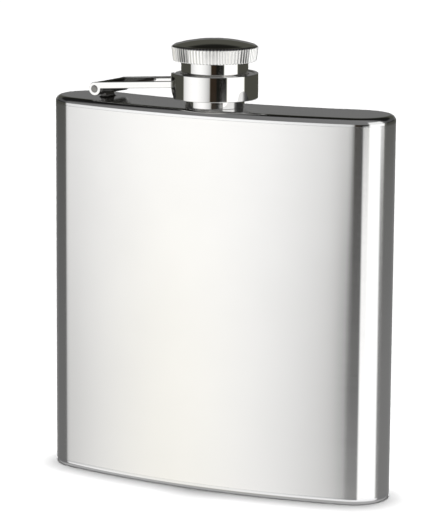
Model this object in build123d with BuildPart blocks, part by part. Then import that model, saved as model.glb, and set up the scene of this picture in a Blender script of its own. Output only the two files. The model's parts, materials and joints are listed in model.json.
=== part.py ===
"""Hip flask with a captive screw cap on a hinged arm.

Millimetres. +Z is up, the curved body stands on z = 0, its hollow side faces +Y and its
bulging front faces -Y. The origin is under the middle of the whole object's plan box.
"""

import os
from math import asin, cos, sin, sqrt

from build123d import *

os.makedirs("parts", exist_ok=True)

# Body: a welded can whose plan is a slot bent round a circle, so that it sits on a hip.
body_width = 95.0
body_thickness = 19.0
body_height = 98.8
curve_radius = 166.5  # of the line halfway through the thickness
sleeve_sheet = 0.6
plate_sheet = 0.8
shoulder_edge_radius = 1.6
base_edge_radius = 1.2
plate_rim = 0.5  # straight part of each closing plate's rim, beyond its rolled edge
foot_width = 1.8  # flat ring that the flask stands on
base_recess = 0.5

# Neck: one turned piece, soldered into the shoulder plate.
mouth_diameter = 10.0
neck_wall = 0.7  # at the bottom of the thread
thread_depth = 0.4
thread_pitch = 1.5
thread_turns = 4
neck_height = 10.5
neck_lip_chamfer = 0.3
neck_flange_width = 1.55  # beyond the thread
neck_flange_height = 2.5
spigot_wall = 1.6
spigot_length = 1.4

# Cap: knurled head, skirt, threaded insert and washer.
thread_swing_gap = 1.1  # lets the cap swing off the neck about the distant hinge
insert_wall = 0.5
insert_groove = 0.25
insert_roof = 1.3
skirt_wall = 0.85
skirt_gap = 0.4  # from the neck's flange to the skirt's lower end
skirt_shown = 3.1  # plain skirt between the arm's loop and the head
knob_diameter = 22.1
knob_rim_height = 3.5
knob_bevel_width = 0.7
knob_bevel_height = 0.5
dome_height = 1.5
flute_count = 80
flute_radius = 0.27
washer_thickness = 1.2
washer_gap = 0.3

# Retaining ring in the skirt's groove. It rises to the collar's lip as the cap unscrews.
cap_rise = 3.0
skirt_land = 0.55  # skirt below the groove
groove_depth = 0.4
ring_thickness = 0.8
ring_reach = 0.65  # how far the ring stands out of the skirt
ring_gap = 0.05
ring_headroom = 0.1

# Swivel collar, fixed inside the arm's loop.
collar_wall = 0.8
collar_lip = 1.0
collar_gap = 0.15  # between the lip and the skirt
collar_ring_gap = 0.1
collar_top_inset = 0.2
collar_bottom_rise = 2.4  # collar's lower end above the loop's

# Arm: one strip bent into an open loop with two legs and an eye on each.
arm_strip = 1.0
loop_bottom = 2.2
loop_chamfer = 2.2
leg_offset = 6.6  # from the arm's centre line to the middle of each leg
leg_height = 1.7
leg_rise = 1.9  # from a leg's middle at the eye to its middle at the loop
leg_above_pin = 0.9
eye_diameter = 3.5

# Hinge: a barrel on a post, with a riveted pin.
hinge_reach = 32.2  # from the neck's axis to the pin
pin_height = 2.7
pin_diameter = 1.4
pin_gap = 0.03
pin_head_diameter = 2.0
pin_head_height = 0.25
barrel_diameter = 3.4
barrel_end_gap = 0.1
post_width = 4.0
post_thickness = 1.3
post_setback = 0.65

# Where the body lies, from its own sizes and the knob's overhang at the front.
half_thickness = body_thickness / 2
half_angle = asin((body_width / 2 - half_thickness) / curve_radius)
body_sagitta = curve_radius * (1 - cos(half_angle))
front_reach = max(half_thickness, knob_diameter / 2)
neck_y = (front_reach - body_sagitta - half_thickness) / 2
curve_centre_y = neck_y + curve_radius
shoulder_seam_z = body_height - shoulder_edge_radius - plate_rim
base_seam_z = base_edge_radius + plate_rim

# Radii, outwards from the mouth.
mouth_radius = mouth_diameter / 2
thread_root_radius = mouth_radius + neck_wall
thread_radius = thread_root_radius + thread_depth
neck_flange_radius = thread_radius + neck_flange_width
spigot_radius = mouth_radius + spigot_wall
insert_bore_radius = thread_radius + thread_swing_gap
insert_radius = insert_bore_radius + insert_wall
skirt_radius = insert_radius + skirt_wall
ring_radius = skirt_radius + ring_reach
counterbore_radius = ring_radius + collar_ring_gap
collar_radius = counterbore_radius + collar_wall
loop_radius = collar_radius + arm_strip
knob_radius = knob_diameter / 2

# Heights above the shoulder plate, upwards from the neck's flange.
skirt_bottom = neck_flange_height + skirt_gap
ring_bottom = skirt_bottom + skirt_land + ring_gap
lip_bottom = ring_bottom + ring_thickness + cap_rise + ring_headroom
collar_top = lip_bottom + collar_lip
loop_top = collar_top + collar_top_inset
collar_bottom = loop_bottom + collar_bottom_rise
knob_bottom = loop_top + skirt_shown
insert_top = neck_height + washer_thickness + insert_roof

# The arm points from the neck to the hinge, which stands on the curved middle line.
arm_angle = asin(hinge_reach / 2 / curve_radius)
arm_along = (-cos(arm_angle), sin(arm_angle), 0)
arm_across = (sin(arm_angle), cos(arm_angle), 0)
neck_foot = (0, neck_y, body_height)
neck_profile = Plane(origin=neck_foot, x_dir=(1, 0, 0), z_dir=(0, -1, 0))
arm_plan = Plane(origin=neck_foot, x_dir=arm_along, z_dir=(0, 0, 1))
arm_profile = Plane(origin=neck_foot, x_dir=arm_along, z_dir=arm_across)
neck_axis = Axis(neck_foot, (0, 0, 1))


def slot_point(angle, radius):
    """Point at an angle and radius about the centre of the body's curve."""
    return (radius * sin(angle), curve_centre_y - radius * cos(angle))


def bent_slot(inset):
    """Plan of the body drawn in by inset: two arcs about one centre and two round ends."""
    half = half_thickness - inset
    outer = curve_radius + half
    inner = curve_radius - half
    end_x, end_y = slot_point(half_angle, curve_radius)
    tip_x = end_x + half * cos(half_angle)
    tip_y = end_y + half * sin(half_angle)
    front_right = slot_point(half_angle, outer)
    front_left = slot_point(-half_angle, outer)
    back_right = slot_point(half_angle, inner)
    back_left = slot_point(-half_angle, inner)
    with BuildSketch() as plan:
        with BuildLine():
            ThreePointArc(front_left, slot_point(0, outer), front_right)
            ThreePointArc(front_right, (tip_x, tip_y), back_right)
            ThreePointArc(back_right, slot_point(0, inner), back_left)
            ThreePointArc(back_left, (-tip_x, tip_y), front_left)
        make_face()
    return plan.sketch


def turned(points):
    """Closed outline of a turned piece: radius and height above the shoulder plate."""
    with BuildSketch() as outline:
        with BuildLine():
            Polyline(*points, close=True)
        make_face()
    return outline.sketch


with BuildPart() as body_sleeve:
    with BuildSketch(Plane.XY.offset(base_seam_z)):
        add(bent_slot(0))
        add(bent_slot(sleeve_sheet), mode=Mode.SUBTRACT)
    extrude(amount=shoulder_seam_z - base_seam_z)

with BuildPart() as shoulder_plate:
    with BuildSketch(Plane.XY.offset(shoulder_seam_z)):
        add(bent_slot(0))
    extrude(amount=body_height - shoulder_seam_z)
    fillet(shoulder_plate.edges().group_by(Axis.Z)[-1], radius=shoulder_edge_radius)
    with BuildSketch(Plane.XY.offset(shoulder_seam_z)):
        add(bent_slot(plate_sheet))
    extrude(amount=body_height - plate_sheet - shoulder_seam_z, mode=Mode.SUBTRACT)
    plate_underside = body_height - plate_sheet
    inner_corner = shoulder_plate.edges().filter_by_position(
        Axis.Z, plate_underside, plate_underside
    )
    fillet(inner_corner, radius=shoulder_edge_radius - plate_sheet)
    with BuildSketch(Plane(origin=neck_foot)):
        Circle(spigot_radius)
    extrude(amount=-spigot_length, mode=Mode.SUBTRACT)

with BuildPart() as base_plate:
    with BuildSketch():
        add(bent_slot(0))
    extrude(amount=base_seam_z)
    fillet(base_plate.edges().group_by(Axis.Z)[0], radius=base_edge_radius)
    with BuildSketch(Plane.XY.offset(plate_sheet)):
        add(bent_slot(plate_sheet))
    extrude(amount=base_seam_z - plate_sheet, mode=Mode.SUBTRACT)
    with BuildSketch(Plane.XY.offset(plate_sheet)):
        add(bent_slot(base_edge_radius + foot_width - plate_sheet))
    extrude(amount=base_recess)
    with BuildSketch():
        add(bent_slot(base_edge_radius + foot_width))
    extrude(amount=base_recess, mode=Mode.SUBTRACT)

# The outside thread is drawn as rings: its crests and its pitch are the real ones.
neck_outline = [
    (mouth_radius, -spigot_length),
    (spigot_radius, -spigot_length),
    (spigot_radius, 0),
    (neck_flange_radius, 0),
    (neck_flange_radius, neck_flange_height),
    (thread_root_radius, neck_flange_height),
]
first_crest = neck_height - neck_lip_chamfer - (thread_turns + 0.25) * thread_pitch
for turn in range(thread_turns):
    crest = first_crest + turn * thread_pitch
    neck_outline += [
        (thread_root_radius, crest),
        (thread_radius, crest + thread_pitch / 4),
        (thread_radius, crest + thread_pitch / 2),
        (thread_root_radius, crest + thread_pitch * 3 / 4),
    ]
neck_outline += [
    (thread_root_radius, neck_height - neck_lip_chamfer),
    (thread_root_radius - neck_lip_chamfer, neck_height),
    (mouth_radius, neck_height),
]

with BuildPart() as neck:
    with BuildSketch(neck_profile):
        add(turned(neck_outline))
    revolve(axis=neck_axis)

with BuildPart() as hinge_bracket:
    with BuildSketch(arm_profile):
        with Locations((hinge_reach, pin_height)):
            Circle(barrel_diameter / 2)
    extrude(amount=leg_offset - arm_strip / 2 - barrel_end_gap, both=True)
    with BuildSketch(arm_profile):
        with Locations((hinge_reach + post_setback, 0)):
            Rectangle(post_thickness, pin_height, align=(Align.CENTER, Align.MIN))
    extrude(amount=post_width / 2, both=True)
    with BuildSketch(arm_profile):
        with Locations((hinge_reach, pin_height)):
            Circle(pin_diameter / 2 + pin_gap)
    extrude(amount=leg_offset, both=True, mode=Mode.SUBTRACT)

with BuildPart() as hinge_pin:
    with BuildSketch(arm_profile):
        with Locations((hinge_reach, pin_height)):
            Circle(pin_diameter / 2)
    extrude(amount=leg_offset + arm_strip / 2, both=True)
    for side in (-1, 1):
        with BuildSketch(arm_profile.offset(side * (leg_offset + arm_strip / 2))):
            with Locations((hinge_reach, pin_height)):
                Circle(pin_head_diameter / 2)
        extrude(amount=side * pin_head_height)

# The strip is drawn in plan at its full depth, then trimmed to its side profile.
leg_inside = leg_offset - arm_strip / 2
leg_root = sqrt(loop_radius**2 - leg_inside**2)
leg_start = sqrt((loop_radius - arm_strip / 2) ** 2 - leg_offset**2)
leg_at_eye = pin_height + leg_above_pin
leg_at_loop = leg_at_eye + leg_rise

with BuildPart() as cap_arm:
    with BuildSketch(arm_plan):
        Circle(loop_radius)
        Circle(collar_radius, mode=Mode.SUBTRACT)
        Rectangle(
            loop_radius,
            2 * leg_inside,
            align=(Align.MIN, Align.CENTER),
            mode=Mode.SUBTRACT,
        )
        with Locations((leg_start, leg_offset), (leg_start, -leg_offset)):
            Rectangle(
                hinge_reach + eye_diameter / 2 - leg_start,
                arm_strip,
                align=(Align.MIN, Align.CENTER),
            )
    extrude(amount=loop_top)
    with BuildSketch(arm_profile):
        with BuildLine():
            Polyline(
                (-loop_radius, loop_bottom),
                (leg_root - loop_chamfer, loop_bottom),
                (leg_root, leg_at_loop - leg_height / 2),
                (hinge_reach, leg_at_eye - leg_height / 2),
                (hinge_reach, leg_at_eye + leg_height / 2),
                (leg_root, leg_at_loop + leg_height / 2),
                (leg_root, loop_top),
                (-loop_radius, loop_top),
                close=True,
            )
        make_face()
        with Locations((hinge_reach, pin_height)):
            Circle(eye_diameter / 2)
            Circle(pin_diameter / 2, mode=Mode.SUBTRACT)
    extrude(amount=loop_radius, both=True, mode=Mode.INTERSECT)

with BuildPart() as swivel_collar:
    with BuildSketch(neck_profile):
        add(
            turned(
                [
                    (counterbore_radius, collar_bottom),
                    (collar_radius, collar_bottom),
                    (collar_radius, collar_top),
                    (skirt_radius + collar_gap, collar_top),
                    (skirt_radius + collar_gap, lip_bottom),
                    (counterbore_radius, lip_bottom),
                ]
            )
        )
    revolve(axis=neck_axis)

groove_radius = skirt_radius - groove_depth

with BuildPart() as retaining_ring:
    with BuildSketch(arm_plan.offset(ring_bottom)):
        Circle(ring_radius)
        Circle(groove_radius + ring_gap, mode=Mode.SUBTRACT)
        Rectangle(ring_radius, ring_thickness, align=(Align.MIN, Align.CENTER), mode=Mode.SUBTRACT)
    extrude(amount=ring_thickness)

bevel_bottom = knob_bottom + knob_rim_height
dome_edge_radius = knob_radius - knob_bevel_width
dome_edge = bevel_bottom + knob_bevel_height
dome_top = dome_edge + dome_height
dome_sphere_radius = (dome_edge_radius**2 + dome_height**2) / (2 * dome_height)

with BuildPart() as cap_shell:
    with BuildSketch(neck_profile):
        with BuildLine():
            Polyline(
                (0, dome_top),
                (0, insert_top),
                (insert_radius, insert_top),
                (insert_radius, skirt_bottom),
                (skirt_radius, skirt_bottom),
                (skirt_radius, ring_bottom - ring_gap),
                (groove_radius, ring_bottom - ring_gap),
                (groove_radius, ring_bottom + ring_thickness + ring_gap),
                (skirt_radius, ring_bottom + ring_thickness + ring_gap),
                (skirt_radius, knob_bottom),
                (knob_radius, knob_bottom),
                (knob_radius, bevel_bottom),
                (dome_edge_radius, dome_edge),
            )
            RadiusArc((dome_edge_radius, dome_edge), (0, dome_top), -dome_sphere_radius)
        make_face()
    revolve(axis=neck_axis)
    with BuildSketch(Plane(origin=neck_foot).offset(knob_bottom)):
        with PolarLocations(knob_radius, flute_count, start_angle=180 / flute_count):
            Circle(flute_radius)
    extrude(amount=knob_rim_height + knob_bevel_height, mode=Mode.SUBTRACT)

# The inside thread is drawn as grooves that leave the swinging gap to the neck.
insert_outline = [
    (0, insert_top),
    (insert_radius, insert_top),
    (insert_radius, skirt_bottom),
    (insert_bore_radius, skirt_bottom),
]
for turn in range(thread_turns):
    groove = first_crest + turn * thread_pitch
    insert_outline += [
        (insert_bore_radius, groove),
        (insert_bore_radius + insert_groove, groove + thread_pitch / 4),
        (insert_bore_radius + insert_groove, groove + thread_pitch / 2),
        (insert_bore_radius, groove + thread_pitch * 3 / 4),
    ]
insert_outline += [
    (insert_bore_radius, neck_height + washer_thickness),
    (0, neck_height + washer_thickness),
]

with BuildPart() as thread_insert:
    with BuildSketch(neck_profile):
        add(turned(insert_outline))
    revolve(axis=neck_axis)

with BuildPart() as seal_washer:
    with BuildSketch(Plane(origin=neck_foot).offset(neck_height)):
        Circle(insert_bore_radius - washer_gap)
    extrude(amount=washer_thickness)

pieces = {
    "body_sleeve": body_sleeve,
    "shoulder_plate": shoulder_plate,
    "base_plate": base_plate,
    "neck": neck,
    "hinge_bracket": hinge_bracket,
    "hinge_pin": hinge_pin,
    "cap_arm": cap_arm,
    "swivel_collar": swivel_collar,
    "retaining_ring": retaining_ring,
    "cap_shell": cap_shell,
    "thread_insert": thread_insert,
    "seal_washer": seal_washer,
}
for name, piece in pieces.items():
    piece.part.label = name
    export_step(piece.part, f"parts/{name}.step")
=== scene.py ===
"""Hip flask: the visible surfaces and finishes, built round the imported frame. Metres."""

import json
import math

import bmesh
import bpy
import numpy as np
from mathutils import Matrix, Vector


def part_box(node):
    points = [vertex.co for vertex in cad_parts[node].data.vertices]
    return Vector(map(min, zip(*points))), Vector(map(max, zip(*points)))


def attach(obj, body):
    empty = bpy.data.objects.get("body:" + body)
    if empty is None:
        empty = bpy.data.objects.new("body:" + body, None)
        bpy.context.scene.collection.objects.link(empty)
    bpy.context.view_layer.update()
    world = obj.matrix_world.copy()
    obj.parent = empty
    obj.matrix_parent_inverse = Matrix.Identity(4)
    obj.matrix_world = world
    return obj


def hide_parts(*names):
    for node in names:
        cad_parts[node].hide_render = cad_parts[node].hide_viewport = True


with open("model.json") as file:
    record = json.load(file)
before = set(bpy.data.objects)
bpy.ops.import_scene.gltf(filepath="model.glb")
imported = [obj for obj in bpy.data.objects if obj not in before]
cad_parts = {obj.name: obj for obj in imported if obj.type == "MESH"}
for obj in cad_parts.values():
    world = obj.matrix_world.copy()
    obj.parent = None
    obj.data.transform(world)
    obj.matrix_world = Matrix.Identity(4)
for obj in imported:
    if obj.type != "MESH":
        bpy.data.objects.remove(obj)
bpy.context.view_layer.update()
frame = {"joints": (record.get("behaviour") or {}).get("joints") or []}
scene = bpy.context.scene
mm = 0.001

# Camera. A long lens a little above the shoulder, on the side away from the hinge.
# It circles the middle of the body, which the frame's boxes give.
body_low, body_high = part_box("body_sleeve")
shoulder_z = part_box("shoulder_plate")[1].z
camera_turn = math.radians(26.377)
camera_tilt = math.radians(11.573)
camera_roll = math.radians(0.419)
camera_distance = 722.9 * mm
aim_aside = -0.55 * mm
aim_up = 7.72 * mm
middle = Vector((0, (body_low.y + body_high.y) / 2, shoulder_z / 2))
aside = Vector((math.cos(camera_turn), math.sin(camera_turn), 0))
outwards = Vector((math.sin(camera_turn), -math.cos(camera_turn), 0))
upwards = Vector((0, 0, 1))
eye = middle + camera_distance * (
    outwards * math.cos(camera_tilt) + upwards * math.sin(camera_tilt)
)
gaze = middle + aside * aim_aside + upwards * aim_up - eye
lens = bpy.data.cameras.new("camera")
lens.sensor_width = 36
lens.lens = 189.7
lens.clip_start = 10 * mm
camera = bpy.data.objects.new("camera", lens)
scene.collection.objects.link(camera)
aimed = gaze.to_track_quat("-Z", "Y").to_matrix() @ Matrix.Rotation(camera_roll, 3, "Z")
camera.matrix_world = Matrix.Translation(eye) @ aimed.to_4x4()
scene.camera = camera
scene.view_settings.view_transform = "Standard"


# Light tent. The steel mirrors a great ball of soft light that nothing else sees: a broad
# softbox on the left, a narrow one on the right, a dark gap between, dim cloth behind, a
# bright table low in front and a haze above.
def grid_object(name, grid, close_rows=False, close_columns=False):
    """Mesh of a rows x columns x 3 grid of points, with one face to a cell. Closing a
    direction joins its last line of points to its first."""
    rows, columns = grid.shape[:2]
    index = np.arange(rows * columns).reshape(rows, columns)
    if close_rows:
        index = np.vstack([index, index[:1]])
    if close_columns:
        index = np.hstack([index, index[:, :1]])
    corners = [index[:-1, :-1], index[:-1, 1:], index[1:, 1:], index[1:, :-1]]
    faces = np.stack(corners, axis=-1).reshape(-1, 4)
    mesh = bpy.data.meshes.new(name)
    mesh.from_pydata(grid.reshape(-1, 3), [], faces.tolist())
    made = bpy.data.objects.new(name, mesh)
    scene.collection.objects.link(made)
    return made


class Wire:
    """A shader socket that takes part in arithmetic: each operator adds a Math node."""

    def __init__(self, tree, socket=None):
        self.tree = tree
        self.socket = socket

    def node(self, kind, settings=None, sockets=None, output=0):
        """Adds a node of any type. Its settings are set first, then each of its sockets
        takes a value or a wire."""
        made = self.tree.nodes.new(kind)
        for key, value in (settings or {}).items():
            setattr(made, key, value)
        for key, value in (sockets or {}).items():
            if isinstance(value, Wire):
                self.tree.links.new(value.socket, made.inputs[key])
            else:
                made.inputs[key].default_value = value
        return Wire(self.tree, made.outputs[output]) if made.outputs else None

    def math(self, operation, first, second):
        """One Math node on two values or wires."""
        return self.node("ShaderNodeMath", {"operation": operation}, {0: first, 1: second})

    def __add__(self, other):
        return self.math("ADD", self, other)

    def __sub__(self, other):
        return self.math("SUBTRACT", self, other)

    def __rsub__(self, other):
        return self.math("SUBTRACT", other, self)

    def __mul__(self, other):
        return self.math("MULTIPLY", self, other)

    __radd__ = __add__
    __rmul__ = __mul__


def empty_material(name):
    """A material with no nodes yet, and a wire to add its first ones with."""
    material = bpy.data.materials.new(name)
    material.use_nodes = True
    material.node_tree.nodes.clear()
    return material, Wire(material.node_tree)


def ramp(value, low, high):
    """Goes smoothly from 0 at low to 1 at high."""
    share = np.clip((value - low) / (high - low), 0, 1)
    return share * share * (3 - 2 * share)


def band(value, start, end, rise, fall):
    """Is 1 from start to end and 0 outside. The first edge is softened by the rise to
    both sides, and the second by the fall."""
    return ramp(value, start - rise, start + rise) * (1 - ramp(value, end - fall, end + fall))


def blend(first, second, share):
    """Goes from the first value to the second as the share goes from 0 to 1."""
    return first + (second - first) * share


def away_from(heading):
    """Degrees between a heading and every turn of the tent, the short way round."""
    return np.abs((turn - heading + 180) % 360 - 180)


# A point of the tent has a turn, in degrees from straight in front towards the right, and
# a lift, in degrees above the level of the body's middle.
tent_radius = 4.0
camera_heading = 26.4
lifts = np.concatenate(
    [np.arange(-90, -20, 2.0), np.arange(-20, 50, 0.25), np.arange(50, 91, 2.0)]
)
turn, lift = np.meshgrid(np.arange(-180, 180, 1.0), lifts)
front_half = 1 - ramp(away_from(camera_heading), 80, 100)
behind = 1 - ramp(away_from(camera_heading + 180), 25, 45)

# The body's walls mirror all that lies under the first of these lines, and their foot what
# lies under the second. The loop, the neck and the cap's skirt mirror a strip just above.
on_body = ramp(-lift, 7.0, 7.4)
on_foot = ramp(-lift, 8, 16)

# The two softboxes. Where the body mirrors them they stand further left, so that the
# gap's reflection falls on its right end. Edges are softened by 2 or 3 degrees.
sharp = 2
soft = 3
left_start = -63
left_end = 14 - 5 * on_body - 7.5 * ramp(-lift, 7.6, 9.8) + 1.2 * on_foot
right_start = 59 - 19 * on_body
right_end = 111 - 14 * on_body + 4 * on_foot
softbox_left = band(turn, left_start, left_end, sharp, sharp)
softbox_right = band(turn, right_start, right_end, sharp, soft)
lit_share = np.clip(softbox_left + softbox_right, 0, 1)

# The left softbox fades with the square of the distance from its middle line, and more
# so to the right and low down. The right one is even.
middle_line = -27
fade_width = 27
dimmest = 0.3
brightest = 1.3
right_level = 1.25
to_the_side = ((turn - middle_line) / fade_width) ** 2
to_the_right = ramp(turn, middle_line - 2, middle_line + 2)
high_level = 1.17 - (0.24 + 0.06 * to_the_right) * to_the_side
low_level = 1.0 - (0.37 + 0.08 * to_the_right) * to_the_side
left_level = np.clip(blend(high_level, low_level, ramp(-lift, 7, 16)), dimmest, brightest)
softboxes = softbox_left * left_level + right_level * softbox_right

# Cloth hangs in the rest of the lower half. It is nearly black in the gap, and lighter
# where the body's ends and its hollow back mirror it. The table covers its lowest part.
table_level = 1.05
table_end = 111
in_gap = band(turn, 3, 62, soft, sharp)
cloth = 0.07 - 0.06 * in_gap
cloth = cloth + (0.05 + 0.04 * in_gap + 0.04 * ramp(turn, 90, 110)) * on_body
cloth = cloth + (0.05 - 0.04 * in_gap) * on_foot
cloth = cloth + 0.06 * behind * on_body + 0.25 * behind * ramp(-lift, 24, 32)
table = band(turn, left_start, table_end, soft, soft) * ramp(-lift, 18, 20.5)
lower = blend(softboxes + (1 - lit_share) * cloth, table_level, table)

# The plate and the cap's dome mirror the upper half: a haze that thins out in two steps
# towards a black top, and over the camera's half a screen with a window on the right.
haze_level = 0.185
thin_haze_level = 0.08
top_level = 0.012
screen_level = 0.2
window_level = 1.0
floor_level = 0.45
window_start = 58
window_end = 107
in_front = band(turn, -61, window_start, soft, sharp)
side_haze = 0.03 + 0.9 * band(turn, window_start, table_end, sharp, soft)
upper = blend(side_haze, haze_level, np.clip(in_front + behind, 0, 1))
upper = blend(upper, thin_haze_level, ramp(lift, 10, 12.5))
upper = blend(upper, top_level, ramp(lift, 26, 32))
window = band(turn, window_start, window_end, sharp, soft) * (1 - ramp(lift, 35, 45))
screen = blend(screen_level, window_level, window)
upper = blend(upper, screen, front_half * ramp(lift, 5, 9))
glow = blend(lower, upper, ramp(lift, 2, 5))
glow = blend(glow, floor_level, ramp(-lift, 30, 50))

# Faint tints: the left softbox is warm low down, a brown cloth hangs at the gap's left
# edge, and the cloth and the haze behind are olive.
warm_line = -33
warm_width = 15
warmth = 0.07 * np.exp(-(((turn - warm_line) / warm_width) ** 2)) * ramp(-lift, 6, 13)
brown = band(turn, 12, 31, sharp, soft) * (1 - on_body) * (1 - ramp(lift, 0, 3))
olive = (1 - lit_share) * (1 - on_body) * (1 - ramp(lift, 2, 5)) + behind * ramp(lift, 10, 12)
red = glow + 0.022 * brown
green = glow * (1 - 0.2 * warmth) + 0.012 * brown
blue = glow * (1 - warmth) * (1 - 0.16 * olive) + 0.006 * brown
tint = np.stack([red, green, blue, np.ones_like(glow)], axis=-1)
level = tent_radius * np.cos(np.radians(lift))
wall = np.stack(
    [
        middle.x + level * np.sin(np.radians(turn)),
        middle.y - level * np.cos(np.radians(turn)),
        middle.z + tent_radius * np.sin(np.radians(lift)),
    ],
    axis=-1,
)
tent = grid_object("tent", wall, close_columns=True)
glow_layer = tent.data.attributes.new("glow", "FLOAT_COLOR", "POINT")
glow_layer.data.foreach_set("color", tint.astype(np.float32).ravel())
material, start = empty_material("tent_light")
glowing = start.node("ShaderNodeAttribute", {"attribute_name": "glow"})
lit = start.node("ShaderNodeEmission", None, {"Color": glowing, "Strength": 1.0})
start.node("ShaderNodeOutputMaterial", None, {"Surface": lit})
tent.data.materials.append(material)
tent.visible_camera = False
tent.visible_diffuse = False
tent.visible_shadow = False

# Floor and backdrop. A plain white floor under one small lamp almost straight above, in a
# white dome that only the camera sees. The steel sees the tent in their place.
floor_radius = 5.5
floor_white = 0.82
floor_roughness = 0.6
dome_radius = 6.0
dome_strength = 1.3
lamp_strength = 4.8
lamp_width = math.radians(7.5)
lamp_lean = math.radians(1.3)
room_light = 0.01
ring = np.linspace(0, 2 * math.pi, 96, endpoint=False)
spread = np.linspace(0, floor_radius, 12)[:, None]
flat = np.stack([spread * np.cos(ring), spread * np.sin(ring), 0 * spread * ring], axis=-1)
floor = grid_object("floor", flat, close_columns=True)
floor.visible_glossy = False
material, start = empty_material("floor_paint")
white = (floor_white, floor_white, floor_white, 1)
matt = start.node("ShaderNodeBsdfDiffuse", None, {"Color": white, "Roughness": floor_roughness})
start.node("ShaderNodeOutputMaterial", None, {"Surface": matt})
floor.data.materials.append(material)

rise = np.linspace(-math.pi / 2, math.pi / 2, 24)[:, None]
shell = np.stack(
    [np.cos(rise) * np.cos(ring), np.cos(rise) * np.sin(ring), np.sin(rise) + 0 * ring],
    axis=-1,
)
dome = grid_object("dome", dome_radius * shell, close_columns=True)
dome.visible_glossy = False
dome.visible_diffuse = False
dome.visible_shadow = False
material, start = empty_material("dome_white")
lit = start.node(
    "ShaderNodeEmission", None, {"Color": (1, 1, 1, 1), "Strength": dome_strength}
)
start.node("ShaderNodeOutputMaterial", None, {"Surface": lit})
dome.data.materials.append(material)

lamp = bpy.data.objects.new("lamp", bpy.data.lights.new("lamp", "SUN"))
lamp.data.energy = lamp_strength
lamp.data.angle = lamp_width
lamp.rotation_euler = (-lamp_lean * math.cos(camera_turn), -lamp_lean * math.sin(camera_turn), 0)
lamp.visible_glossy = False
scene.collection.objects.link(lamp)
world = bpy.data.worlds.new("world")
world.use_nodes = True
room_grey = (room_light, room_light, room_light, 1)
world.node_tree.nodes["Background"].inputs["Color"].default_value = room_grey
scene.world = world


# Body sleeve. One sheet of stainless steel bent round the slot-shaped plan and welded to
# the two end plates. Its outside is polished along the width, with a fine level grain.
def bent_slot(arc_steps=120, end_steps=56):
    """Plan of the body as a spine and unit normals: the spine runs along the arc, round
    its end point, back along the arc and round its other end, while the normal turns once."""
    arc = np.linspace(-slot_angle, slot_angle, arc_steps)
    swing = np.linspace(0, math.pi, end_steps)[1:-1]
    front = arc - math.pi / 2
    right = slot_angle - math.pi / 2 + swing
    back = arc[::-1] + math.pi / 2
    left = math.pi / 2 - slot_angle + swing
    along = np.concatenate([arc, slot_angle + 0 * swing, arc[::-1], -slot_angle + 0 * swing])
    facing = np.concatenate([front, right, back, left])
    spine = np.stack([np.sin(along), -np.cos(along)], axis=-1) * curve_radius
    spine = spine + np.array([0, curve_centre_y])
    return spine, np.stack([np.cos(facing), np.sin(facing)], axis=-1)


def round_body(profile):
    """Carries a profile of insets and heights round the plan: each point stands on the
    spine's normal, at half the body's thickness less its inset."""
    inset = profile[:, 0][:, None, None]
    plan = spine + (half_thickness - inset) * facing
    height = np.broadcast_to(profile[:, 1][:, None, None], plan.shape[:2] + (1,))
    return np.concatenate([plan, height], axis=-1)


def rounded(corners, radii, steps=6):
    """Profile with its corners rounded: each becomes a circular arc between the points
    where a circle of that radius touches its two sides. One more point on each side, at
    1.4 times the distance to the arc, keeps the shading of the flats even. A radius of 0
    keeps a corner."""
    flat_point = 1.4
    corner = np.asarray(corners, float)
    radius = np.broadcast_to(np.asarray(radii, float), len(corner))[:, None]
    before = np.roll(corner, 1, axis=0) - corner
    after = np.roll(corner, -1, axis=0) - corner
    before = before / np.linalg.norm(before, axis=1, keepdims=True)
    after = after / np.linalg.norm(after, axis=1, keepdims=True)
    half = np.arccos(np.clip(np.sum(before * after, axis=1), -1, 1))[:, None] / 2
    reach = radius / np.tan(half)
    share = np.linspace(0, 1, steps)
    first = (1 - share) ** 2
    second = 2 * share * (1 - share) * np.sin(half)
    third = share**2
    pull = first + second + third
    arcs = (
        first[None, :, None] * (corner + before * reach)[:, None]
        + second[:, :, None] * corner[:, None]
        + third[None, :, None] * (corner + after * reach)[:, None]
    ) / pull[:, :, None]
    lead = (corner + before * reach * flat_point)[:, None]
    trail = (corner + after * reach * flat_point)[:, None]
    return np.concatenate([lead, arcs, trail], axis=1).reshape(-1, 2)


def solid(name, grid, close_rows=True, close_columns=True, crease=40):
    """Closed piece from a grid of points: merges seams and poles, turns the faces out,
    and shades it smooth up to the crease angle in degrees."""
    same_place = 0.0002 * mm
    made = grid_object(name, grid, close_rows, close_columns)
    work = bmesh.new()
    work.from_mesh(made.data)
    bmesh.ops.remove_doubles(work, verts=work.verts, dist=same_place)
    bmesh.ops.recalc_face_normals(work, faces=work.faces)
    work.to_mesh(made.data)
    work.free()
    made.data.shade_smooth()
    made.data.set_sharp_from_angle(angle=math.radians(crease))
    weighted = made.modifiers.new("weighted", "WEIGHTED_NORMAL")
    weighted.keep_sharp = True
    return made


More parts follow.
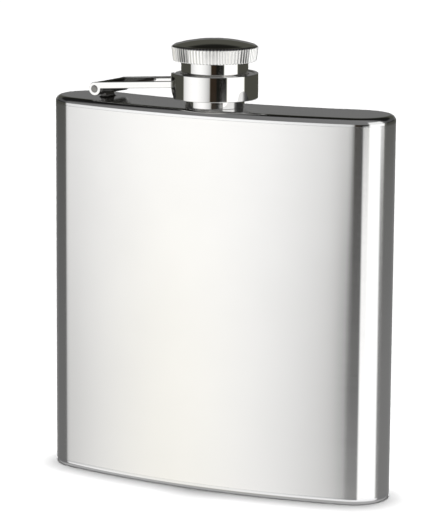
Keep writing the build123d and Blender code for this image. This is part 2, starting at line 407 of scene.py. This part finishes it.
def steel(
    name, colour, roughness, grain, fineness, depth, variation=0.05, satin=0.0, worked=0.0
):
    """Metal with a grain. The noise that makes the grain is squeezed by one frequency per
    axis, in cycles per metre, and drives both a bump of that depth and the roughness,
    which varies by that much. Clouds of wear, 45 to the metre, darken it a little. Satin
    stretches highlights across the grain of a rolled sheet, and worked is the roughness
    that is added where the piece's attribute of that name is 1."""
    wear_frequency = 45.0
    worn_tone = 0.94
    quarter_turn = 0.25
    material, start = empty_material(name)
    place = start.node("ShaderNodeTexCoord", output=3)
    squeezed = start.node("ShaderNodeMapping", None, {"Vector": place, "Scale": grain})
    lines = start.node(
        "ShaderNodeTexNoise", None, {"Vector": squeezed, "Scale": 1.0, "Detail": fineness}
    )
    clouds = start.node(
        "ShaderNodeTexNoise", None, {"Vector": place, "Scale": wear_frequency, "Detail": 3.0}
    )
    worn = start.node(
        "ShaderNodeMix",
        {"data_type": "RGBA"},
        {0: clouds, 6: (*colour, 1), 7: (*(worn_tone * c for c in colour), 1)},
        output=2,
    )
    raised = start.node(
        "ShaderNodeBump", None, {"Height": lines, "Distance": depth, "Strength": 1.0}
    )
    wear = 0.5 * variation
    rough = roughness + variation * (lines - 0.5) + wear * (clouds - 0.5)
    if worked:
        coarser = start.node("ShaderNodeAttribute", {"attribute_name": "worked"}, output=2)
        rough = rough + worked * coarser
    shader = start.node(
        "ShaderNodeBsdfPrincipled",
        None,
        {
            "Base Color": worn,
            "Metallic": 1.0,
            "Roughness": rough,
            "Normal": raised,
            "Anisotropic": satin,
            "Anisotropic Rotation": quarter_turn,
        },
    )
    start.node("ShaderNodeOutputMaterial", None, {"Surface": shader})
    return material


def read_points(piece):
    """Vertex positions of a piece, as an array."""
    points = np.empty(len(piece.data.vertices) * 3, np.float32)
    piece.data.vertices.foreach_get("co", points)
    return points.reshape(-1, 3)


def place_piece(piece, material, body, slot, *nodes):
    """Gives the piece its finish and its place in the frame."""
    piece.data.materials.append(material)
    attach(piece, body)
    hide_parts(*nodes)


half_thickness = 9.5 * mm
slot_reach = (body_high.x - body_low.x) / 2 - half_thickness
slot_bow = body_high.y - body_low.y - 2 * half_thickness
curve_radius = (slot_reach**2 + slot_bow**2) / (2 * slot_bow)
slot_angle = math.asin(slot_reach / curve_radius)
curve_centre_y = body_low.y + half_thickness + curve_radius
spine, facing = bent_slot()

sleeve_sheet = 0.6 * mm
seam_round = 0.05 * mm
tight_seam = 0.01 * mm
sleeve_profile = rounded(
    [
        (0, body_low.z),
        (0, body_high.z),
        (sleeve_sheet, body_high.z),
        (sleeve_sheet, body_low.z),
    ],
    [tight_seam, seam_round, seam_round, tight_seam],
)
sleeve = solid("sleeve", round_body(sleeve_profile))
body_steel = steel(
    "polished_sleeve",
    colour=(0.92, 0.915, 0.905),
    roughness=0.155,
    grain=(30, 30, 4200),
    fineness=4.0,
    depth=0.0012 * mm,
    variation=0.06,
    satin=0.6,
)
place_piece(sleeve, body_steel, "root", "polished_steel", "body_sleeve")

# Shoulder plate. A pressed lid with a rolled edge, welded to the sleeve's top. Its flat
# top keeps the satin of the rolled sheet, and a hole in it takes the neck's spigot.
neck_x, neck_y = frame["joints"][2]["pos_m"][:2]
plate_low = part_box("shoulder_plate")[0].z
plate_sheet = 0.8 * mm
shoulder_round = 1.6 * mm
hole_radius = 6.6 * mm
quarter = np.linspace(0, math.pi / 2, 14)
outer_edge = np.stack(
    [
        shoulder_round * (1 - np.cos(quarter)),
        shoulder_z - shoulder_round * (1 - np.sin(quarter)),
    ],
    axis=-1,
)
inner_round = shoulder_round - plate_sheet
inner_edge = np.stack(
    [
        shoulder_round - inner_round * np.cos(quarter),
        shoulder_z - shoulder_round + inner_round * np.sin(quarter),
    ],
    axis=-1,
)


def spread_to_hole(edge, height, steps=10):
    """Flat sheet between one line round the body and the neck's hole: each point goes
    straight to the point of the hole's circle that it sees the neck's axis through."""
    centre = np.array([neck_x, neck_y])
    ray = edge[:, :2] - centre
    circle = centre + hole_radius * ray / np.linalg.norm(ray, axis=1, keepdims=True)
    share = np.linspace(0, 1, steps)[:, None, None]
    flat = edge[None, :, :2] * (1 - share) + circle[None] * share
    return np.concatenate([flat, np.full(flat.shape[:2] + (1,), height)], axis=-1)


rim_line = np.array([[0, plate_low], [0, plate_low + seam_round]])
rim_back = np.array([[plate_sheet, plate_low + seam_round], [plate_sheet, plate_low]])
rolled = round_body(np.vstack([rim_line, outer_edge]))
lining = round_body(np.vstack([inner_edge[::-1], rim_back]))
plate_top = spread_to_hole(rolled[-1], shoulder_z)
plate_back = spread_to_hole(lining[0], shoulder_z - plate_sheet)[::-1]
shoulder = solid("shoulder", np.concatenate([rolled, plate_top, plate_back, lining]))
plate_steel = steel(
    "satin_plate",
    colour=(0.86, 0.86, 0.86),
    roughness=0.12,
    grain=(60, 1600, 60),
    fineness=1.0,
    depth=0.0001 * mm,
)
place_piece(shoulder, plate_steel, "root", "brushed_plate", "shoulder_plate")

# Base plate. The same pressing turned over, with a shallow panel raised inside its foot
# ring so that the flask stands steady. It is welded to the sleeve's lower edge.
base_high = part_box("base_plate")[1].z
base_round = 1.2 * mm
foot_width = 1.8 * mm
panel_rise = 0.5 * mm
panel_inset = base_round + foot_width
base_profile = rounded(
    [
        (half_thickness, panel_rise),
        (panel_inset, panel_rise),
        (panel_inset - panel_rise / 2, 0),
        (0, 0),
        (0, base_high),
        (plate_sheet, base_high),
        (plate_sheet, plate_sheet),
        (panel_inset - plate_sheet, plate_sheet),
        (panel_inset - plate_sheet / 2, plate_sheet + panel_rise),
        (half_thickness, plate_sheet + panel_rise),
    ],
    np.array([0, 0.3, 0.3, 1.2, 0.01, 0.01, 0.4, 0.2, 0.2, 0]) * mm,
    steps=8,
)
base = solid("base", round_body(base_profile), close_rows=False)
place_piece(base, plate_steel, "root", "brushed_plate", "base_plate")

# Neck. Turned from bar: a flange, a bored spout with a right-hand outside thread, and a
# spigot that is soldered into the shoulder plate. Polished, with faint turning marks.
def turned(profile, origin, axis=(0, 0, 1), first=(1, 0, 0), segments=144, radius=None):
    """Turns a profile of radii and distances along an axis about that axis. radius may
    give a rows x segments grid of radii in place of the profile's own."""
    axis = np.asarray(axis, float)
    first = np.asarray(first, float)
    second = np.cross(axis, first)
    angle = np.linspace(0, 2 * math.pi, segments, endpoint=False)[None, :, None]
    out = first * np.cos(angle) + second * np.sin(angle)
    reach = profile[:, :1] if radius is None else radius
    return np.asarray(origin) + axis * profile[:, 1][:, None, None] + out * reach[:, :, None]


def denser(profile, spacing):
    """Adds points along a profile so that no step on it is longer than the spacing."""
    step = np.linalg.norm(np.diff(profile, axis=0), axis=1)
    walked = np.concatenate([[0], np.cumsum(step)])
    marks = np.unique(np.concatenate([walked, np.arange(0, walked[-1], spacing)]))
    keep = np.concatenate([[True], np.diff(marks) > 1e-9])
    marks = marks[keep]
    return np.stack([np.interp(marks, walked, profile[:, k]) for k in (0, 1)], axis=-1)


def thread(profile, base_radius, depth, low, high, segments=144):
    """Radii of a thread: rows that lie on the base radius between low and high get a
    flat-topped ridge, which climbs one pitch a turn and fades out at both ends. The
    ridge's half foot and the width of its flank are shares of the pitch."""
    half_foot = 0.375
    flank = 0.25
    fade = 0.6 * mm
    angle = np.linspace(0, 2 * math.pi, segments, endpoint=False)[None, :]
    height = profile[:, 1][:, None]
    climb = height / thread_pitch - angle / (2 * math.pi)
    ridge = np.clip((half_foot - np.abs(climb % 1 - 0.5)) / flank, 0, 1)
    threaded = ramp(height, low, low + fade) * (1 - ramp(height, high - fade, high))
    on_base = np.abs(profile[:, :1] - base_radius) < 1e-8
    return profile[:, :1] + depth * ridge * threaded * on_base


neck_foot = (neck_x, neck_y, shoulder_z)
thread_pitch = 1.5 * mm
mouth_radius = 5.0 * mm
thread_root = 5.7 * mm
thread_depth = 0.4 * mm
flange_radius = 7.65 * mm
flange_height = 2.5 * mm
spigot_length = 1.4 * mm
neck_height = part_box("neck")[1].z - shoulder_z
thread_start = flange_height + 0.6 * mm
thread_end = neck_height - 0.5 * mm
neck_profile = rounded(
    [
        (mouth_radius, -spigot_length),
        (hole_radius, -spigot_length),
        (hole_radius, 0),
        (flange_radius, 0),
        (flange_radius, flange_height),
        (thread_root, flange_height),
        (thread_root, neck_height),
        (mouth_radius, neck_height),
    ],
    np.array([0.2, 0.2, 0.01, 0.1, 0.35, 0.25, 0.3, 0.2]) * mm,
    steps=5,
)
neck_profile = denser(neck_profile, spacing=0.12 * mm)
neck_radii = thread(neck_profile, thread_root, thread_depth, thread_start, thread_end)
neck = solid("neck_spout", turned(neck_profile, neck_foot, radius=neck_radii), crease=60)
turned_steel = steel(
    "turned_steel",
    colour=(0.9, 0.895, 0.88),
    roughness=0.045,
    grain=(60, 60, 3000),
    fineness=2.0,
    depth=0.00012 * mm,
    variation=0.04,
)
place_piece(neck, turned_steel, "root", "turned_steel", "neck")

# Hinge bracket. A bored barrel on a short post, soldered to the plate with a small
# fillet of solder round its foot. Its steel is painted dark: painted shade for the dark
# surroundings it mirrors. The barrel fills the space between the arm's legs.
hinge = np.array(frame["joints"][0]["pos_m"])
hinge_axis = np.array(frame["joints"][0]["axis"])
to_hinge = np.array([hinge[0] - neck_x, hinge[1] - neck_y, 0])
hinge_reach = np.linalg.norm(to_hinge)
arm_along = to_hinge / hinge_reach
barrel_radius = 1.7 * mm
barrel_bore = 0.73 * mm
barrel_half = 6.0 * mm
barrel_profile = rounded(
    [
        (barrel_bore, -barrel_half),
        (barrel_radius, -barrel_half),
        (barrel_radius, barrel_half),
        (barrel_bore, barrel_half),
    ],
    np.array([0.05, 0.2, 0.2, 0.05]) * mm,
)
barrel = solid(
    "hinge_barrel", turned(barrel_profile, hinge, hinge_axis, arm_along, segments=72)
)
# The dark colour is painted shade, standing in for the dark surroundings the bracket mirrors.
soldered_steel = steel(
    "soldered_steel",
    colour=(0.36, 0.355, 0.34),
    roughness=0.14,
    grain=(400, 400, 400),
    fineness=4.0,
    depth=0.001 * mm,
)
place_piece(barrel, soldered_steel, "root", "turned_steel", "hinge_bracket")

post_half_length = 0.65 * mm
post_half_width = 2.0 * mm
post_setback = 0.65 * mm
solder_reach = 0.55 * mm
solder_height = 0.3 * mm
corner_share = 0.2
sliver = 0.001 * mm
below_bore = 0.07 * mm
post_height = hinge[2] - barrel_bore - below_bore - shoulder_z


def rounded_box(half_across, half_up, edge, steps=5):
    """Section of a bar as offsets across and up: four quarter circles, one to a corner,
    each with a point of the flat before and after it, 0.4 of the edge's radius away. The
    half sizes may be columns."""
    flat_point = 0.4
    sign_across = np.repeat([1, -1, -1, 1], steps + 2)
    sign_up = np.repeat([1, 1, -1, -1], steps + 2)
    quarter = np.pad(np.linspace(0, math.pi / 2, steps), 1, mode="edge")
    bend = np.concatenate([quarter + k * math.pi / 2 for k in range(4)])
    shift = np.tile(np.concatenate([[-1], np.zeros(steps), [1]]), 4)
    shift = shift * flat_point * np.minimum(edge, np.minimum(half_across, half_up) - edge)
    across = sign_across * (half_across - edge) + edge * np.cos(bend) - shift * np.sin(bend)
    up = sign_up * (half_up - edge) + edge * np.sin(bend) + shift * np.cos(bend)
    return across, up


# The solder flares the post's foot by an amount that falls off exponentially with height.
# The first and last rows are drawn in to the post's middle and close it.
post_level = np.concatenate([[0, 0], np.linspace(0.02, 1, 16) * post_height, [post_height]])
post_level = post_level[:, None]
flare = solder_reach * np.exp(-post_level / solder_height)
flare[0] = flare[-1] = -post_half_length + sliver
post_edge = sliver + corner_share * (post_half_length + flare)
post_along, post_across = rounded_box(
    post_half_length + flare, post_half_width + flare, post_edge
)
closed = np.ones_like(post_level)
closed[0] = closed[-1] = 0
post_centre = hinge + arm_along * post_setback
post_grid = (
    np.array([post_centre[0], post_centre[1], shoulder_z])
    + arm_along * (closed * post_along)[:, :, None]
    + hinge_axis * (closed * post_across)[:, :, None]
    + np.array([0, 0, 1]) * (post_level + 0 * post_along)[:, :, None]
)
post = solid("hinge_post", post_grid, close_rows=False)
place_piece(post, soldered_steel, "root", "turned_steel", "hinge_bracket")

# Hinge pin. A soft steel rivet through both eyes and the barrel; its ends are hammered
# into low domes and stay duller than the polished strip round them.
pin_radius = 0.7 * mm
pin_head_radius = 1.0 * mm
pin_head_height = 0.25 * mm
pin_half = 7.1 * mm
brow_radius = 0.9 * pin_head_radius
brow_height = 0.75 * pin_head_height
head_profile = [
    (pin_head_radius, pin_half),
    (brow_radius, pin_half + brow_height),
    (0, pin_half + pin_head_height),
]
pin_profile = rounded(
    [(0, -pin_half - pin_head_height)]
    + [(r, -z) for r, z in head_profile[1::-1]]
    + [(pin_radius, -pin_half), (pin_radius, pin_half)]
    + head_profile,
    np.array([0, 0.15, 0.03, 0.03, 0.03, 0.03, 0.15, 0]) * mm,
)
pin = solid(
    "pin_rivet",
    turned(pin_profile, hinge, hinge_axis, arm_along, segments=48),
    close_rows=False,
)
pin_steel = steel(
    "hammered_pin",
    colour=(0.34, 0.335, 0.32),
    roughness=0.38,
    grain=(2500, 2500, 2500),
    fineness=3.0,
    depth=0.01 * mm,
    variation=0.15,
)
place_piece(pin, pin_steel, "arm", "pin_steel", "hinge_pin")

# Cap arm. One strip of spring steel, bent on edge into an open loop with two straight
# legs. The legs are cut down to narrow bars that end in round eyes for the pin.
strip = 1.0 * mm
strip_edge = 0.14 * mm
widest_edge = 0.95
leg_offset = 6.6 * mm
leg_height = 1.7 * mm
leg_above_pin = 0.9 * mm
leg_rise = 1.9 * mm
eye_radius = 1.75 * mm
loop_chamfer = 2.2 * mm
loop_clearance = 2.2 * mm
loop_bottom = shoulder_z + loop_clearance
loop_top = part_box("cap_arm")[1].z
loop_outside = 11.1 * mm
loop_radius = loop_outside - strip / 2
leg_start = math.sqrt(loop_radius**2 - leg_offset**2)
leg_root = math.sqrt(loop_outside**2 - (leg_offset - strip / 2) ** 2)
step_place = leg_start + 0.3 * mm
bend_reach = 0.4 * mm
bend_start = leg_start + bend_reach


def arm_path():
    """Middle of the strip in plan, from one eye to the other, as distances from the neck
    along the arm and across it: a leg, a small bend, and the loop, mirrored at its back."""
    eye_part = hinge_reach + np.cos(np.linspace(0, math.pi, 40)) * eye_radius
    leg_part = np.linspace(hinge_reach - eye_radius, bend_start + 0.01 * mm, 40)[1:]
    straight = np.concatenate([eye_part, leg_part, [bend_start, bend_start]])
    straight = np.stack([straight, leg_offset + 0 * straight], axis=-1)
    start_angle = math.atan2(leg_offset, leg_start)
    corner = np.array([leg_start, leg_offset])
    loop_angle = np.linspace(start_angle + bend_reach / loop_radius, math.pi, 90)
    loop = loop_radius * np.stack([np.cos(loop_angle), np.sin(loop_angle)], axis=-1)
    share = np.linspace(0, 1, 12)[1:-1, None]
    bend = (
        (1 - share) ** 2 * straight[-1] + 2 * share * (1 - share) * corner + share**2 * loop[0]
    )
    half = np.concatenate([straight, bend, loop])
    return np.concatenate([half, half[-2::-1] * [1, -1]])


def capped(grid):
    """Closes both ends of a tube: each end row is drawn in to its own middle."""
    ends = grid[[0, -1]]
    middles = np.broadcast_to(ends.mean(axis=1, keepdims=True), ends.shape)
    return np.concatenate([middles[:1], grid, middles[1:]])


# The strip's top and bottom along its path: a sloping leg that ends in a round eye, and a
# loop of full height whose lower edge is cut off at a slant where the leg leaves it.
path = arm_path()
forward = np.gradient(path, axis=0)
forward = forward / np.linalg.norm(forward, axis=1, keepdims=True)
normal = np.stack([forward[:, 1], -forward[:, 0]], axis=-1)
from_neck = path[:, 0]
along_leg = (hinge_reach - from_neck) / (hinge_reach - leg_root)
leg_middle = hinge[2] + leg_above_pin + leg_rise * along_leg
in_chamfer = np.clip((step_place - from_neck) / loop_chamfer, 0, 1)
on_loop = from_neck <= step_place
strip_top = np.where(on_loop, loop_top, leg_middle + leg_height / 2)
leg_under = leg_middle - leg_height / 2
strip_bottom = leg_under + (loop_bottom - leg_under) * in_chamfer
eye_rise = np.sqrt(np.clip(eye_radius**2 - (from_neck - hinge_reach) ** 2, 1e-12, None))
near_eye = np.abs(from_neck - hinge_reach) < eye_radius
past_pin = from_neck > hinge_reach
strip_top = np.where(near_eye, np.maximum(strip_top, hinge[2] + eye_rise), strip_top)
strip_bottom = np.where(near_eye, np.minimum(strip_bottom, hinge[2] - eye_rise), strip_bottom)
strip_top = np.where(past_pin, hinge[2] + eye_rise, strip_top)[:, None]
strip_bottom = np.where(past_pin, hinge[2] - eye_rise, strip_bottom)[:, None]
strip_half = (strip_top - strip_bottom) / 2
strip_middle = (strip_top + strip_bottom) / 2
section_edge = np.minimum(strip_edge, widest_edge * strip_half)
section_across, section_up = rounded_box(strip / 2, strip_half, section_edge)
plan = path[:, None, :] + normal[:, None, :] * section_across[:, :, None]
arm_across = np.cross(arm_along, (0, 0, 1))
arm_grid = (
    np.array([neck_x, neck_y, 0])
    + arm_along * plan[:, :, :1]
    + arm_across * plan[:, :, 1:]
    + np.array([0, 0, 1]) * (strip_middle + section_up)[:, :, None]
)
arm = solid("arm_strip", capped(arm_grid), close_rows=False)
strip_steel = steel(
    "polished_strip",
    colour=(0.92, 0.915, 0.9),
    roughness=0.04,
    grain=(400, 400, 400),
    fineness=4.0,
    depth=0.0004 * mm,
    variation=0.03,
)
place_piece(arm, strip_steel, "arm", "arm_steel", "cap_arm")

# Swivel collar. A turned ring brazed inside the loop; the cap turns in it, and its inward
# lip holds the cap's retaining ring down, so that the cap can't be lost.
collar_low, collar_high = (corner.z - shoulder_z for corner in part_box("swivel_collar"))
collar_radius = 10.1 * mm
lip_radius = 8.7 * mm
counterbore = 9.3 * mm
lip_height = 1.0 * mm
collar_profile = rounded(
    [
        (counterbore, collar_low),
        (collar_radius, collar_low),
        (collar_radius, collar_high),
        (lip_radius, collar_high),
        (lip_radius, collar_high - lip_height),
        (counterbore, collar_high - lip_height),
    ],
    np.array([0.1, 0.15, 0.15, 0.15, 0.1, 0.02]) * mm,
)
collar = solid("collar_ring", turned(collar_profile, neck_foot))
place_piece(collar, turned_steel, "arm", "turned_steel", "swivel_collar")

# Retaining ring. A split ring of spring wire, rolled flat, snapped into the groove of the
# cap's skirt. It rides up inside the collar as the cap unscrews.
ring_low, ring_high = (corner.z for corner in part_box("retaining_ring"))
ring_inside = 8.2 * mm
ring_outside = 9.2 * mm
ring_gap = 0.8 * mm
ring_edge = 0.2 * mm
gap_angle = ring_gap / ring_outside / 2
heading = math.atan2(arm_along[1], arm_along[0])
bow = heading + np.linspace(gap_angle, 2 * math.pi - gap_angle, 150)[:, None]
ring_half_width = np.full_like(bow, (ring_outside - ring_inside) / 2)
ring_across, ring_up = rounded_box(ring_half_width, (ring_high - ring_low) / 2, ring_edge)
ring_reach = (ring_outside + ring_inside) / 2 + ring_across
ring_grid = np.stack(
    [
        neck_x + ring_reach * np.cos(bow),
        neck_y + ring_reach * np.sin(bow),
        (ring_low + ring_high) / 2 + ring_up + 0 * ring_reach,
    ],
    axis=-1,
)
snap_ring = solid("snap_ring", capped(ring_grid), close_rows=False)
spring_steel = steel(
    "spring_wire",
    colour=(0.62, 0.615, 0.6),
    roughness=0.22,
    grain=(900, 900, 5000),
    fineness=3.0,
    depth=0.001 * mm,
)
place_piece(snap_ring, spring_steel, "ring", "spring_steel", "retaining_ring")

# Cap. Turned from bar and polished: a low dome with a bevelled edge, a rim fluted by a
# straight knurl and a little narrower at its foot, and a plain skirt with a groove for
# the retaining ring.
cap_low, cap_top = (corner.z - shoulder_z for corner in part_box("cap_shell"))
insert_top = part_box("thread_insert")[1].z - shoulder_z
insert_radius = 7.7 * mm
skirt_radius = 8.55 * mm
knob_radius = 11.05 * mm
knob_bottom = 11.7 * mm
rim_taper = 0.45 * mm
knob_rim_height = 3.5 * mm
bevel_width = 0.7 * mm
bevel_height = 0.5 * mm
flute_count = 80
flute_radius = 0.27 * mm
flute_samples = 10
groove_radius = 8.15 * mm
groove_slack = 0.05 * mm
groove_low = ring_low - shoulder_z - groove_slack
groove_high = ring_high - shoulder_z + groove_slack
rim_top = knob_bottom + knob_rim_height
dome_edge = knob_radius - bevel_width
dome_rise = cap_top - rim_top - bevel_height
dome_sphere = (dome_edge**2 + dome_rise**2) / (2 * dome_rise)
corner_steps = 5
corner_points = corner_steps + 2
cap_turnings = rounded(
    [
        (0, insert_top),
        (insert_radius, insert_top),
        (insert_radius, cap_low),
        (skirt_radius, cap_low),
        (skirt_radius, groove_low),
        (groove_radius, groove_low),
        (groove_radius, groove_high),
        (skirt_radius, groove_high),
        (skirt_radius, knob_bottom),
        (knob_radius - rim_taper, knob_bottom),
        (knob_radius, rim_top),
        (dome_edge, rim_top + bevel_height),
        (0, rim_top + bevel_height),
    ],
    np.array([0, 0.05, 0.1, 0.15, 0.05, 0.05, 0.05, 0.05, 0.2, 0.25, 0.15, 0.02, 0]) * mm,
    steps=corner_steps,
)
# The last corner only leads the bevel inwards: the dome, an arc of a sphere, replaces it.
sweep = np.linspace(dome_edge, 0, 26)[1:]
dome_height = cap_top - dome_sphere + np.sqrt(dome_sphere**2 - sweep**2)
dome_line = np.stack([sweep, dome_height], axis=-1)
cap_profile = np.vstack([cap_turnings[:-corner_points], dome_line])
# Each flute is a groove of circular section. The rim's radius falls off towards its foot.
segments = flute_count * flute_samples
flute_place = (np.arange(segments) / flute_samples + 0.5) % 1 - 0.5
from_flute = flute_place * 2 * math.pi * knob_radius / flute_count
flute_depth = np.sqrt(np.clip(flute_radius**2 - from_flute**2, 0, None))
up_the_rim = np.clip((cap_profile[:, 1:] - knob_bottom) / knob_rim_height, 0, 1)
rim_radius = knob_radius - rim_taper * (1 - up_the_rim)
cap_radii = np.minimum(cap_profile[:, :1], rim_radius - flute_depth)
cap = solid(
    "knurled_cap",
    turned(cap_profile, neck_foot, segments=segments, radius=cap_radii),
    close_rows=False,
    crease=35,
)
# The knurled rim is left coarser than the polished dome and skirt.
rim_start = dome_edge + 0.3 * mm
from_axis = np.linalg.norm(read_points(cap)[:, :2] - [neck_x, neck_y], axis=1)
on_rim = from_axis > rim_start
worked_layer = cap.data.attributes.new("worked", "FLOAT", "POINT")
worked_layer.data.foreach_set("value", on_rim.astype(np.float32))
cap_steel = steel(
    "polished_cap",
    colour=(0.9, 0.895, 0.88),
    roughness=0.045,
    grain=(60, 60, 3000),
    fineness=2.0,
    depth=0.00012 * mm,
    variation=0.04,
    worked=0.12,
)
place_piece(cap, cap_steel, "cap", "cap_steel", "cap_shell")


# Thread insert. A moulded cup pressed into the cap, with the inside thread. It stands
# clear of the neck's thread by the swinging gap that the frame gives it.
def plastic(name, colour, roughness, speckle, depth):
    """Moulded plastic or rubber: a fine speckle, as a frequency to the metre, raises the
    skin by the depth and varies its gloss. Larger clouds darken the colour a little."""
    cloud_frequency = 160.0
    cloud_tone = 0.88
    gloss_change = 0.12
    material, start = empty_material(name)
    place = start.node("ShaderNodeTexCoord", output=3)
    dots = start.node(
        "ShaderNodeTexNoise", None, {"Vector": place, "Scale": speckle, "Detail": 3.0}
    )
    clouds = start.node(
        "ShaderNodeTexNoise", None, {"Vector": place, "Scale": cloud_frequency, "Detail": 2.0}
    )
    toned = start.node(
        "ShaderNodeMix",
        {"data_type": "RGBA"},
        {0: clouds, 6: (*colour, 1), 7: (*(cloud_tone * c for c in colour), 1)},
        output=2,
    )
    raised = start.node(
        "ShaderNodeBump", None, {"Height": dots, "Distance": depth, "Strength": 1.0}
    )
    rough = roughness + gloss_change * (dots - 0.5)
    shader = start.node(
        "ShaderNodeBsdfPrincipled",
        None,
        {"Base Color": toned, "Roughness": rough, "Normal": raised},
    )
    start.node("ShaderNodeOutputMaterial", None, {"Surface": shader})
    return material


insert_bore = 7.2 * mm
insert_groove = 0.25 * mm
insert_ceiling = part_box("seal_washer")[1].z - shoulder_z
insert_thread_start = cap_low + 0.5 * mm
insert_profile = rounded(
    [
        (0, insert_top),
        (insert_radius, insert_top),
        (insert_radius, cap_low),
        (insert_bore, cap_low),
        (insert_bore, insert_ceiling),
        (0, insert_ceiling),
    ],
    np.array([0, 0.1, 0.1, 0.15, 0.1, 0]) * mm,
    steps=5,
)
insert_profile = denser(insert_profile, spacing=0.15 * mm)
insert_radii = thread(
    insert_profile, insert_bore, insert_groove, insert_thread_start, thread_end
)
insert = solid(
    "insert_cup", turned(insert_profile, neck_foot, radius=insert_radii), close_rows=False
)
insert_plastic = plastic(
    "insert_plastic", colour=(0.8, 0.79, 0.76), roughness=0.42, speckle=2500.0, depth=0.004 * mm
)
place_piece(insert, insert_plastic, "cap", "insert_plastic", "thread_insert")

# Seal washer. A soft disc in the cap's ceiling; the neck's rim has pressed a faint ring
# into its face.
washer_low, washer_high = (corner.z - shoulder_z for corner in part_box("seal_washer"))
washer_radius = 6.9 * mm
press_depth = 0.06 * mm
press_width = 0.3 * mm
washer_profile = rounded(
    [(0, washer_high), (washer_radius, washer_high), (washer_radius, washer_low), (0, washer_low)],
    np.array([0, 0.15, 0.25, 0]) * mm,
)
washer_profile = denser(washer_profile, spacing=0.15 * mm)
from_neck_rim = washer_profile[:, 0] - (mouth_radius + thread_root) / 2
pressed = np.exp(-((from_neck_rim / press_width) ** 2))
under_side = washer_profile[:, 1] < washer_low + 1e-6
washer_profile[:, 1] += press_depth * pressed * under_side
washer = solid("seal_disc", turned(washer_profile, neck_foot), close_rows=False)
silicone = plastic(
    "silicone", colour=(0.74, 0.73, 0.71), roughness=0.5, speckle=1800.0, depth=0.006 * mm
)
place_piece(washer, silicone, "cap", "seal_rubber", "seal_washer")
